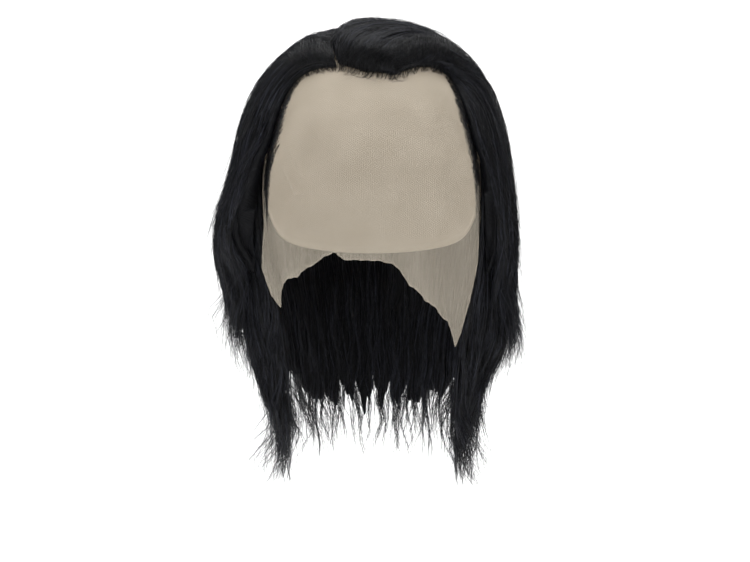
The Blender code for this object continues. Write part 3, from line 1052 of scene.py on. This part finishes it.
    def strand_lines(self, steps: int, rng: np.random.Generator) -> tuple[Array, Array]:
        """Centre lines of the strands and their radii.

        Each strand belongs to a tuft and is drawn towards it near its end. It lies a little
        over the locks and sways by a sine that its tuft shares, with small kinks. Some stray
        from the surface, and the ends flick outwards, each tuft by its own amount.

        Args:
            steps: points along each.
            rng: seeded draws.

        Returns:
            Lines, strands by steps by 3, and radii, strands by steps.
        """
        count = self.strands
        one = (count, 1)
        tufts = self.locks * self.tufts
        root = self.spread(rng.random(one))
        tuft = np.minimum(np.floor(root * tufts), tufts - 1).astype(int)
        stage, shift, pitch, size, lean = rng.random((5, tufts))[:, tuft]
        start, end, layered = self.strand_spans(stage, rng)
        valley = self.tip_lengths(root) / 140 * rng.random(one)
        end = np.where(end > 0.8, end + self.uneven * ragged(tuft * 1.7) + valley, end)
        t = np.linspace(0, 1, steps)[None]
        v = start + (end - start) * t
        centre = (tuft + 0.5 + 0.3 * ragged(tuft)) / tufts
        gather = np.where(layered, 0.75 * t**2, self.gather * np.clip(v, 0, 1.1) ** 3)
        u = root + (centre - root) * gather + 0.012 * (rng.random(one) - 0.5) * v
        read = self.read(u, v)
        normal, side, depth = read[..., 3:6], read[..., 6:9], read[..., 10] - read[..., 9]
        turns = read[..., 11] / (self.wave_length + self.wave_longer * pitch) + shift + 0.12 * rng.random(one)
        swing = self.wave * (0.15 + np.maximum(v, 0) ** 1.5) * (0.6 + 0.8 * rng.random(one))
        curled = np.clip((v - self.curl_from) / (1 - self.curl_from), 0, 1.6)
        curl = self.curl * curled**1.5 * (0.4 + 0.8 * size)
        sway = swing * np.sin(turns * math.tau) + curl * np.sin(turns * math.pi + 2 * lean)
        lift = 0.6 * swing * np.cos(turns * 0.8 * math.tau)
        lift = lift + curl * (0.35 + np.cos(turns * math.pi + 5 * shift))
        kink = self.kink * (0.25 + v) * rng.normal(size=(2, count, steps))
        rise = 0.1 + 1.2 * rng.random(one) ** 2 - np.clip(depth, 0, 2.5) * 0.5 * rng.random(one)
        rise = rise - bell(t, 0.12) * np.where(start > 0.02, 1.2, 0.6)
        under = rng.random(one) < self.inner_share
        rise = np.where(under, -depth - 0.15 - 0.35 * rng.random(one), rise + lift + kink[0])
        stray = (rng.random(one) < self.strays) & ~under
        away = self.stray + self.stray_more * rng.random(one) ** 1.5
        out = np.where(stray, away * np.clip(t - 0.3, 0, 1) ** 1.5, 0)
        loose = np.clip((v - self.loose_from) / 0.25, 0, 1.3)
        leave = np.where(layered, np.clip((t - 0.3) / 0.7, 0, 1), loose) ** 1.6
        flick = leave * self.flick * (0.3 + 0.7 * size) * rng.random(one) ** 1.2
        flick = flick * np.where(layered, 0.55 + 0.45 * stage, 1)
        out = out + np.where(under, 0.25, 1) * flick
        turn = 1.1 * (lean - 0.5) + 0.5 * (rng.random(one) - 0.5)
        line = read[..., 0:3] + normal * (rise + out)[..., None]
        line = line + side * (sway + kink[1] + out * turn)[..., None]
        taper = np.minimum(1, 0.3 + t * 6) * (1 - 0.85 * t**2.4)
        least, more = self.strand_radius
        return line, (least + more * rng.random(one)) * taper

    def build_strands(self, material: Material, slot: str) -> Piece:
        """The loose strands over the locks and past their tips."""
        rng = np.random.default_rng(self.seed)
        line, radius = self.strand_lines(7, rng)
        return tube_piece(self.name + "_strands", line, radius, rng, material, self.name)

    def build_frizz(self, material: Material, slot: str) -> Piece:
        """Short fine hairs that stand off the surface, the more the further down they grow.

        Each leaves the surface by a power of the way along it, drifts sideways and bends.

        Args:
            material: their finish.
            slot: not used.

        Returns:
            The new object.
        """
        rng = np.random.default_rng(self.seed + 100)
        one = (self.frizzy, 1)
        t = np.linspace(0, 1, 5)[None]
        start = 0.1 + 0.88 * rng.random(one) ** 0.8
        v = start + (0.03 + 0.07 * rng.random(one)) * t
        read = self.read(self.spread(rng.random(one)) + 0 * t, v)
        off = (self.frizz_off[0] + self.frizz_off[1] * rng.random(one) ** 2) * (0.3 + 0.7 * start)
        out = off * t**1.2 + 0.4 * np.sin(t * 5 + rng.random(one) * math.tau) - 0.3
        drift = self.frizz_drift * (rng.random(one) - 0.5) * t**1.5
        line = read[..., 0:3] + read[..., 3:6] * out[..., None] + read[..., 6:9] * drift[..., None]
        radius = (self.frizz_radius[0] + self.frizz_radius[1] * rng.random(one)) * (1 - 0.8 * t**2)
        return tube_piece(self.name + "_frizz", line, radius, rng, material, self.name)


# A slant that hardly any hair takes exactly, from which each tube's corners are turned
OFF_THE_HAIR = np.array([0.31, 0.17, 0.93])
# Power of the strands' chance tones: the higher, the fewer light ones, whose light tone is a painted
# highlight
FEW_PAINTED_HIGHLIGHTS = 3.2


def tube_piece(
    name: str,
    line: Array,
    radius: Array,
    rng: np.random.Generator,
    material: Material,
    stands_for: str,
) -> Piece:
    """Joined three-sided tubes: corners at 120 degrees round each point of each line.

    Args:
        name: the piece's name.
        line: tubes by steps by 3, millimetres.
        radius: tubes by steps.
        rng: seeded draws for each tube's tone, painted highlight at its light end.
        material: its finish.
        stands_for: the CAD node that it replaces.

    Returns:
        The new object.
    """
    count, steps = radius.shape
    run = unit(np.gradient(line, axis=1))
    across = unit(np.cross(run, OFF_THE_HAIR))
    over = np.cross(run, across)
    turns = np.arange(3) * math.tau / 3
    ring = across[:, :, None] * np.cos(turns)[:, None] + over[:, :, None] * np.sin(turns)[:, None]
    points = line[:, :, None] + ring * radius[..., None, None]
    base = np.arange(count)[:, None, None] * steps * 3 + np.arange(steps - 1)[:, None] * 3
    side = np.arange(3)
    after = (side + 1) % 3
    corners = [base + side, base + after, base + 3 + after, base + 3 + side]
    quads = np.stack([np.broadcast_to(c, (count, steps - 1, 3)) for c in corners], axis=-1).reshape(-1, 4)
    first = np.arange(count)[:, None] * steps * 3
    low_caps = np.hstack([first + 2, first + 1, first])
    high_caps = np.hstack([first, first + 1, first + 2]) + (steps - 1) * 3
    halves = np.concatenate([quads[:, [0, 1, 2]], quads[:, [0, 2, 3]], low_caps, high_caps])
    mesh = mesh_of(name, points.reshape(-1, 3), halves)
    # Each tube's chance tone: towards 1 it turns to its finish's light tone, a painted highlight
    shade = mesh.attributes.new("shade", "FLOAT", "POINT")
    each = np.repeat(rng.random(count) ** FEW_PAINTED_HIGHLIGHTS, steps * 3)
    shade.data.foreach_set("value", each.astype(np.float32))
    return add_piece(mesh, material, stands_for)


@dataclass
class FrontLace:
    """The sheer front lace, from under the hairline to its uneven cut edge."""

    inset: float = 9.0
    gap: float = 0.3
    wall: float = 0.3
    columns: int = 151
    rows: int = 57
    # how the rows crowd towards the cut edge, that edge's fraying, and the marked edge's width
    crowding: float = 1.4
    fray: float = 0.003
    edge_width: float = 0.7
    # height over the form, and share of the flat length that the uneven cut leaves
    lift: float = 0.35
    cut_share: float = 0.8
    # azimuth, drop of the cut edge, lift of that edge off the form
    edge: tuple = (
        (-157.5, 138, 1.5),
        (-156, 158, 6.0),
        (-154, 178, 4.0),
        (-150, 187, 0.5),
        (-143, 173, 0),
        (-126, 163, 0),
        (-115, 153, 0),
        (-106, 145, 0),
        (-102, 151, 0),
        (-91, 151, 0),
        (-81, 153, 0),
        (-73, 168, 0),
        (-64, 179, 0.5),
        (-54, 190, 1.0),
        (-47, 197, 1.0),
        (-38, 214, 1.5),
        (-34.5, 203, 3.0),
        (-31, 181, 4.0),
        (-29, 154, 3.0),
        (-28, 139, 1.0),
    )
    # azimuth and drop at one end, then at the other, height, width
    creases: tuple = (
        (-129, 75, -117.5, 103, 1.0, 2.5),
        (-133, 87, -121, 113, 0.6, 2.5),
        (-58, 172, -49, 192, 0.8, 2.5),
        (-142, 168, -108, 147, 1.2, 2.0),
    )

    def hairline(self) -> Array:
        """Flattened places along the hairline, from the left ear over the brow to the right."""
        v = np.linspace(0, 1, 60)
        left, right = TOP_LEFT[0].line(v), TOP_RIGHT[-1].line(v)
        ear = FORM.reach_of(129)
        left = left[reach_at(left) < ear]
        right = right[reach_at(right) < ear]
        roots = [flow.place() for flow in HAIRLINE_ROWS[1:-1]]
        return np.vstack([left[::-1], roots, right])

    @staticmethod
    def along(line: Array, count: int) -> Array:
        """The line again with points evenly spaced on the form."""
        way = way_along(FORM.point(line))
        return linear(way, line, np.linspace(0, way[-1], count))

    def seam(self, count: int, inset: float) -> Array:
        """The eased hairline moved towards the cap.

        Args:
            count: points along it.
            inset: how far, in millimetres.

        Returns:
            Flattened places.
        """
        line = self.along(self.hairline(), 90)
        for _ in range(6):
            line[1:-1] = (line[:-2] + 2 * line[1:-1] + line[2:]) / 4
        line = self.along(line, count)
        points = FORM.point(line)
        side = unit(np.cross(FORM.outward(line), np.gradient(points, axis=0)))
        step = 0.5
        along_x = (FORM.point(line + (step, 0)) - points) / step
        along_y = (FORM.point(line + (0, step)) - points) / step
        basis = np.stack([along_x, along_y], axis=-1)
        moves = np.einsum("nij,nj->ni", np.linalg.pinv(basis), side)
        return line + inset * moves

    @staticmethod
    def on_net(places: Array) -> Array:
        """Places on the net in millimetres: round the face and down it."""
        turn = turn_at(places)
        return np.stack([turn * (FORM.half_width + 4), reach_at(places)], axis=-1)

    def crease_ends(self, crease: tuple) -> Array:
        """Flattened places of both ends of a crease."""
        from_azimuth, from_drop, to_azimuth, to_drop = crease[:4]
        return flat(np.array([from_azimuth, to_azimuth]), FORM.reach_of(np.array([from_drop, to_drop])))

    def crease_height(self, points: Array) -> Array:
        """Outward lift of the soft creases: a bell across each crease's line."""
        height = np.zeros(points.shape[:-1])
        for crease in self.creases:
            line = FORM.point(linear([0, 1], self.crease_ends(crease), np.linspace(0, 1, 9)))
            rise, width = crease[4:]
            height += rise * bell(distance(points, line), width)
        return height

    def build(self, material: Material) -> Piece:
        """The lace as one thin closed sheet: rulings from the seam to the cut edge."""
        table = np.asarray(self.edge, float)
        cut = flat(table[:, 0], FORM.reach_of(table[:, 1]))
        way = way_along(FORM.point(cut))
        at = np.linspace(0, way[-1], self.columns)
        lift = np.interp(at, way, table[:, 2])
        v = 1 - (1 - np.linspace(0, 1, self.rows)[:, None, None]) ** self.crowding
        frayed = 1 - self.fray * (1 + np.sin(at * 0.55) * np.sin(at * 0.23 + 1))[:, None]
        places = self.seam(self.columns, self.inset) * (1 - v) + linear(way, cut, at) * frayed * v
        points = FORM.point(places)
        rise = self.crease_height(points) + lift * v[..., 0] ** 2
        normal = FORM.outward(places)
        inner = points + normal * (rise[..., None] + self.lift)
        outer = inner + normal * self.wall
        corners, faces = closed_between(outer, inner)
        mesh = mesh_of("lace_net", corners, faces)
        net = self.on_net(places).reshape(-1, 2)
        uv_map(mesh, "net_mm", np.concatenate([net, net]))
        from_edge = np.linalg.norm(points - points[-1:], axis=-1)
        fold = bell(from_edge, self.edge_width)
        mark = mesh.attributes.new("fold", "FLOAT", "POINT")
        mark.data.foreach_set("value", np.tile(fold.ravel(), 2).astype(np.float32))
        face_outwards(mesh)
        piece = add_piece(mesh, material, "front_lace")
        return piece


@dataclass
class BabyHairs:
    """Short single hairs knotted into the lace in front of the hairline."""

    lace: FrontLace
    count: int = 3500
    steps: int = 5
    band: float = 7.5
    seed: int = 21
    # the temples begin at this reach and are reached fully so much further down
    temple: float = 70.0
    temple_fade: float = 35.0
    # how much further forward the hairs start there, where the lace turns out of sight
    forward: float = 12.0
    # how far they go past the hairline at least and how much more, and their radius likewise
    beyond: tuple = (3.0, 11.0)
    radius: tuple = (0.10, 0.09)
    # height over the lace, and height at which they lie over the hair
    off_lace: float = 0.75
    over_hair: float = 2.6

    def build(self, material: Material) -> Piece:
        """Hairs from chance places before the hairline, back and up into the mass.

        They stand thickest at the hairline and thin out towards the face. At the brow each
        turns a little towards the flow and lies over the hair. At the temples it starts further
        forward, goes straight back and runs under the hair, so that only its start shows.

        Args:
            material: their finish.

        Returns:
            The new object.
        """
        rng = np.random.default_rng(self.seed)
        line = FrontLace.along(self.lace.hairline(), 900)
        run = unit(np.gradient(line, axis=0))
        face = np.stack([run[:, 1], -run[:, 0]], axis=-1)
        at = rng.integers(0, len(line), self.count)
        one = (self.count, 1, 1)
        run, face, start = run[at][:, None], face[at][:, None], line[at][:, None]
        left = np.arctan2(start[..., 1:], start[..., :1]) < math.radians(TOP_LEFT[0].root)
        low = np.clip((reach_at(start)[..., None] - self.temple) / self.temple_fade, 0, 1)
        before = self.forward * low + self.band * (1 + 0.5 * low) * rng.random(one) ** 1.7
        length = before + self.beyond[0] + self.beyond[1] * rng.random(one)
        t = np.linspace(0, 1, self.steps)[None, :, None]
        turn = rng.normal(0.25, 0.3, one) + 0.5 * (1 - low) * t
        step = length / (self.steps - 1)
        inward = np.cumsum(np.cos(turn), axis=1) * step - before
        drift = np.cumsum(np.sin(turn), axis=1) * step * np.where(left, -1, 1)
        q = start - face * inward + run * drift
        stands = np.clip((inward[..., 0] + 1.0) / 3.0, 0, 1) * (1 - low[..., 0]) ** 2
        tall = self.over_hair + HAIR.full(q) * (0.9 + 0.2 * rng.random(one[:2]))
        rise = self.off_lace + stands * tall
        points = FORM.point(q) + FORM.outward(q) * rise[..., None]
        taper = (0.8 + 0.2 * np.minimum(1, 3 * t[..., 0])) * (1 - 0.55 * t[..., 0] ** 2)
        radius = (self.radius[0] + self.radius[1] * rng.random(one[:2])) * taper
        return tube_piece("hairline_hairs", points, radius, rng, material, "hair_top_right")


@dataclass
class Cap:
    """The knitted net cap that the hair is sewn to."""

    lace: FrontLace
    wall: float = 1.0
    centre: float = 35.0
    # azimuth, drop of the cap's edge round the ears and the nape
    edge: tuple = (
        (-12, 119),
        (2, 112),
        (20, 122),
        (40, 142),
        (65, 152),
        (90, 155),
        (115, 152),
        (140, 142),
        (160, 122),
        (174, 111),
        (186, 119),
    )

    def build(self, material: Material) -> Piece:
        """The cap as a closed wall: rays from a centre behind the crown to its border."""
        seam = self.lace.seam(100, self.lace.inset + self.lace.gap)
        table = np.asarray(self.edge, float)
        keys = np.linspace(0, 1, len(table))
        azimuth, drop = smooth(keys, table, np.linspace(0, 1, 70)).T
        border = np.vstack([seam, flat(azimuth, FORM.reach_of(drop))])
        border = np.vstack([border, border[:1]])
        v = np.linspace(0, 1, 28)[1:, None, None]
        centre = np.array([0, self.centre])
        places = centre + (border - centre) * v
        points, normal = FORM.point(places), FORM.outward(places)
        rows, columns = points.shape[:2]
        inner = points.reshape(-1, 3)
        outer = (points + normal * self.wall).reshape(-1, 3)
        tip_in = FORM.point(centre[None])
        tip_out = tip_in + FORM.outward(centre[None]) * self.wall
        corners = np.concatenate([outer, inner, tip_out, tip_in])
        size = rows * columns
        top = grid_faces(rows, columns)
        first, last = np.arange(columns - 1), np.arange(columns - 1) + (rows - 1) * columns
        hub_out, hub_in = np.full(columns - 1, 2 * size), np.full(columns - 1, 2 * size + 1)
        fan_out = np.stack([hub_out, first, first + 1], axis=-1)
        fan_in = np.stack([hub_in, first + 1 + size, first + size], axis=-1)
        rim = np.stack([last, last + size, last + size + 1, last + 1], axis=-1)
        quads = np.concatenate([top, top[:, ::-1] + size, rim])
        faces = np.concatenate([quads[:, [0, 1, 2]], quads[:, [0, 2, 3]], fan_out, fan_in])
        mesh = mesh_of("cap_net", corners, faces)
        uv_map(mesh, "net_mm", np.concatenate([places.reshape(-1, 2)] * 2 + [centre[None]] * 2))
        face_outwards(mesh, weld=1e-5)
        return add_piece(mesh, material, "cap")


@dataclass
class Studio:
    """Plain pale floor, soft lights and the camera, their places in metres."""

    floor_z: float = -0.46
    floor_front: float = -3.0
    floor_back: float = 1.6
    floor_half: float = 4.0
    bend: float = 0.8
    backdrop: float = 4.0
    floor_glow: float = 0.15
    distance: float = 1.2
    elevation: float = 4.0
    lens: float = 80.0
    look_at: tuple = (0.0018, 0.0, -0.170)

    def build_floor(self) -> None:
        """A pale floor that bends up into a backdrop, one profile swept sideways."""
        turn = np.linspace(0, np.pi / 2, 24)
        back = self.floor_back
        y = np.concatenate([[self.floor_front], back + self.bend * np.sin(turn), [back + self.bend]])
        z = np.concatenate([[0.0], self.bend * (1 - np.cos(turn)), [self.backdrop]]) + self.floor_z
        x = np.array([-self.floor_half, self.floor_half])
        points = np.stack([np.broadcast_to(x, (len(y), 2)), y[:, None] + 0 * x, z[:, None] + 0 * x], axis=-1)
        mesh = mesh_of("floor", points.reshape(-1, 3) / MM, grid_faces(len(y), 2))
        material, tree = new_material("pale_paper")
        surface(
            tree,
            Base_Color=srgb("fbfbfb"),
            Roughness=0.9,
            Emission_Color=srgb("ffffff"),
            Emission_Strength=self.floor_glow,
        )
        mesh.materials.append(material)
        floor = bpy.data.objects.new("floor", mesh)
        bpy.context.scene.collection.objects.link(floor)

    def build_light(self, name: str, place: tuple, size: float, power: float) -> None:
        """One square area light that faces the wig.

        Args:
            name: its name.
            place: its position, metres.
            size: its side, metres.
            power: watts.
        """
        data = bpy.data.lights.new(name, "AREA")
        data.size, data.energy = size, power
        light = bpy.data.objects.new(name, data)
        light.location = place
        way = np.array(self.look_at) - np.array(place)
        across, up = math.atan2(way[1], way[0]), math.asin(way[2] / np.linalg.norm(way))
        light.rotation_euler = (math.pi / 2 + up, 0, across - math.pi / 2)
        bpy.context.scene.collection.objects.link(light)

    def build_world(self) -> None:
        """Even white surroundings."""
        world = bpy.data.worlds.new("studio")
        world.use_nodes = True
        ground = world.node_tree.nodes["Background"]
        ground.inputs["Color"].default_value = (1, 1, 1, 1)
        ground.inputs["Strength"].default_value = 0.6
        bpy.context.scene.world = world
        bpy.context.scene.view_settings.view_transform = "Standard"

    def build_camera(self) -> None:
        """The camera at the photograph's angle: level with the wig, a little above."""
        data = bpy.data.cameras.new("camera")
        data.lens, data.sensor_width = self.lens, 36.0
        camera = bpy.data.objects.new("camera", data)
        tilt = math.radians(self.elevation)
        x, y, z = self.look_at
        camera.location = (x, y - self.distance * math.cos(tilt), z + self.distance * math.sin(tilt))
        camera.rotation_euler = (math.pi / 2 - tilt, 0, 0)
        bpy.context.scene.collection.objects.link(camera)
        bpy.context.scene.camera = camera

    def build(self) -> None:
        """Makes the whole studio."""
        self.build_floor()
        self.build_world()
        self.build_light("key", (-1.3, -1.5, 0.9), 1.0, 21)
        self.build_light("fill", (1.5, -1.3, 0.5), 1.0, 14)
        self.build_light("top", (0.0, -0.1, 1.5), 1.0, 38)
        self.build_camera()


def side_hair(name: str, rows: tuple, seed: int, flick: float) -> HairMass:
    """Long hair of one side, with many layers and curled, uneven ends."""
    return HairMass(
        name,
        Layer.LOWER,
        rows,
        locks=8,
        seed=seed,
        strands=2500,
        frizzy=1050,
        past=0.24,
        flick=flick,
        inner_share=0.12,
        layered=0.4,
        wave=2.6,
        curl=4.5,
        uneven=0.08,
        reach=0.84,
    )


def top_hair(name: str, rows: tuple, seed: int, **own: float) -> HairMass:
    """Upper hair of one side of the parting, with its own counts and ends."""
    return HairMass(name, Layer.UPPER, rows, seed=seed, layered=0.2, **own)


MASSES = (
    top_hair("hair_top_left", TOP_LEFT, 11, locks=8, strands=2900, frizzy=1250, past=0.22, flick=16.0),
    top_hair("hair_top_right", TOP_RIGHT, 12, locks=10, strands=3500, frizzy=1400, past=0.2, flick=12.0),
    HairMass("hair_back", Layer.UPPER, TOP_BACK, locks=9, seed=13, strands=2200, frizzy=450, past=0.2),
    side_hair("hair_side_left", LOWER_LEFT, 14, 23.0),
    side_hair("hair_side_right", LOWER_RIGHT, 15, 20.0),
    HairMass(
        "hair_nape",
        Layer.LOWER,
        LOWER_BACK,
        locks=10,
        seed=16,
        strands=2600,
        frizzy=300,
        past=0.13,
        inner_share=0.5,
        layered=0.35,
        wave=2.0,
        curl=3.0,
        uneven=0.06,
        gather=0.35,
        reach=0.96,
        even=0.09,
    ),
)


def main() -> None:
    """Builds the pieces in order and reports each one."""
    logging.basicConfig(level=logging.INFO, format="%(name)s %(message)s")
    studio = Studio()
    studio.build()
    lace = FrontLace()
    Cap(lace).build(NetFinish().make())
    lace.build(LaceFinish().make([lace.on_net(lace.crease_ends(crease)) for crease in lace.creases]))
    hair, strand = HairFinish().make(), StrandToneAndHighlight().make()
    for mass in MASSES:
        mass.build_field()
        mass.build_mass(hair, "hair")
        mass.build_strands(strand, "hair")
        mass.build_frizz(strand, "hair")
    # The baby hairs' light tone, a painted highlight, is kept near black
    BabyHairs(lace).build(StrandToneAndHighlight("baby_hair", light="15161a").make())


if __name__ == "__main__":
    main()
